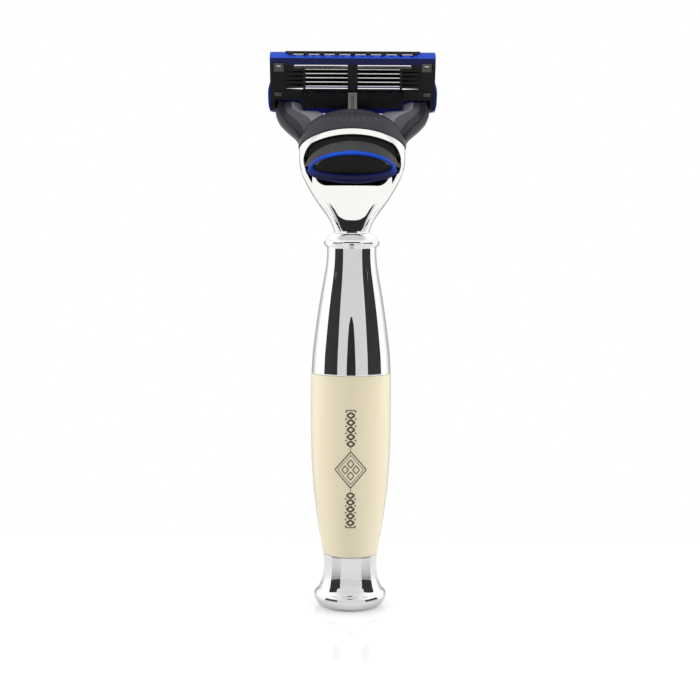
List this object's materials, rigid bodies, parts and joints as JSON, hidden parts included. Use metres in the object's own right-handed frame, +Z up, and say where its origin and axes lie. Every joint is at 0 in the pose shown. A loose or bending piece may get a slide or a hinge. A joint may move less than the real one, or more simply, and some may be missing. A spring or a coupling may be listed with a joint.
{
  "type": "cartridge razor",
  "caption": "Wet-shaving razor with a turned resin and chrome handle, a release button and a pivoting sprung blade cartridge.",
  "frame": {"origin": "centre of the flat foot face, z = 0 on the surface the razor stands on", "axes": "+Z up the handle's axis, +X across the cartridge, +Y towards the side the blades face, -Y the button side"},
  "size_m": [0.0422, 0.0216, 0.1382],
  "materials": {
    "chrome": "bright plated, mirror polished",
    "ivory_resin": "polished cast resin, cream",
    "steel": "ground stainless steel",
    "rod_steel": "plain steel rod",
    "black_plastic": "fine moulded texture",
    "grey_plastic": "fine moulded texture",
    "yoke_plastic": "satin moulded plastic",
    "blue_plastic": "translucent-looking blue, glossy",
    "blue_elastomer": "soft satin elastomer",
    "black_elastomer": "soft matt elastomer",
    "clip_aluminium": "formed sheet, satin",
    "lube": "waxy pale green strip"
  },
  "bodies": {
    "handle": {"base_cap": "chrome", "barrel": "ivory_resin", "ferrule": "chrome", "tie_rod": "rod_steel", "head_shell": "chrome", "dock_core": "black_plastic", "plunger_spring": "rod_steel"},
    "button": {"ejector": "grey_plastic", "button_ring": "blue_plastic", "button_pad": "black_elastomer"},
    "plunger": {"plunger": "grey_plastic"},
    "connector": {"yoke": "yoke_plastic"},
    "blade_unit": {"blade_housing": "black_plastic", "guard": "blue_elastomer", "lube_strip": "lube", "clip_left": "clip_aluminium", "clip_right": "clip_aluminium", "trimmer_carrier": "blue_plastic", "trimmer_blade": "steel", "trimmer_comb": "black_plastic"},
    "blade_body_1": {"blade_1": "steel", "blade_support_1": "steel"},
    "blade_body_2": {"blade_2": "steel", "blade_support_2": "steel"},
    "blade_body_3": {"blade_3": "steel", "blade_support_3": "steel"},
    "blade_body_4": {"blade_4": "steel", "blade_support_4": "steel"},
    "blade_body_5": {"blade_5": "steel", "blade_support_5": "steel"}
  },
  "joints": [
    {"name": "button_slide", "type": "slide", "parent": "handle", "child": "button", "axis": [0, 0.309, 0.9511], "range_m": [0, 0.0026], "stiffness_N_per_m": 300, "springref_m": -0.004},
    {"name": "cartridge_release", "type": "slide", "parent": "button", "child": "connector", "axis": [0, 0.309, 0.9511], "range_m": [0, 0.015]},
    {"name": "cartridge_pivot", "type": "hinge", "parent": "connector", "child": "blade_unit", "pos_m": [0, 0.00876, 0.12481], "axis": [1, 0, 0], "range_deg": [0, 41]},
    {"name": "plunger_slide", "type": "slide", "parent": "handle", "child": "plunger", "axis": [0, 0.309, 0.9511], "range_m": [-0.00319, 0], "stiffness_N_per_m": 200, "springref_m": 0.003, "deforming": ["plunger_spring"]},
    {"name": "blade_1_spring", "type": "slide", "parent": "blade_unit", "child": "blade_body_1", "axis": [0, -0.9397, -0.342], "range_m": [0, 0.0001], "stiffness_N_per_m": 400, "springref_m": -0.0002},
    {"name": "blade_2_spring", "type": "slide", "parent": "blade_unit", "child": "blade_body_2", "axis": [0, -0.9397, -0.342], "range_m": [0, 0.0001], "stiffness_N_per_m": 400, "springref_m": -0.0002},
    {"name": "blade_3_spring", "type": "slide", "parent": "blade_unit", "child": "blade_body_3", "axis": [0, -0.9397, -0.342], "range_m": [0, 0.0001], "stiffness_N_per_m": 400, "springref_m": -0.0002},
    {"name": "blade_4_spring", "type": "slide", "parent": "blade_unit", "child": "blade_body_4", "axis": [0, -0.9397, -0.342], "range_m": [0, 0.0001], "stiffness_N_per_m": 400, "springref_m": -0.0002},
    {"name": "blade_5_spring", "type": "slide", "parent": "blade_unit", "child": "blade_body_5", "axis": [0, -0.9397, -0.342], "range_m": [0, 0.0001], "stiffness_N_per_m": 400, "springref_m": -0.0002}
  ],
  "couplings": [
    {"joint": "cartridge_pivot", "follows": "plunger_slide", "rad_per_m": -224.43}
  ]
}
